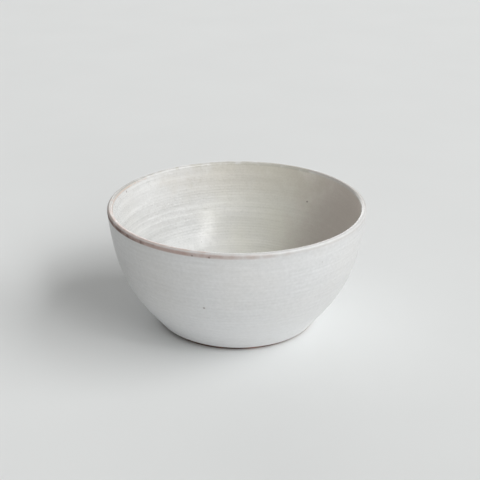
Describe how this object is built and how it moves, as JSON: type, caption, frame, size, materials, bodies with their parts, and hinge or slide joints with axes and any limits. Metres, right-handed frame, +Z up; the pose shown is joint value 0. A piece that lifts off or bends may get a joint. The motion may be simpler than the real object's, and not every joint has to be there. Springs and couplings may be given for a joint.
{
  "type": "breakfast bowl",
  "caption": "Round thrown stoneware breakfast bowl with a rounded belly, steep wall, thin soft lip and low bare foot, glazed off-white inside and out with a brown rim line.",
  "frame": {"origin": "middle of the foot, on the surface that the bowl stands on", "axes": "+Z up along the bowl's own axis, out of its mouth; X and Y level, with no preferred turn because the bowl is round"},
  "size_m": [0.15, 0.15, 0.072],
  "materials": {
    "bare_stoneware": "matte",
    "liner_glaze": "gloss",
    "wall_glaze": "satin",
    "broken_rim_glaze": "satin"
  },
  "bodies": {
    "root": {"stoneware_body": "bare_stoneware", "inner_glaze": "liner_glaze", "outer_glaze": "wall_glaze", "rim_glaze": "broken_rim_glaze"}
  },
  "joints": []
}
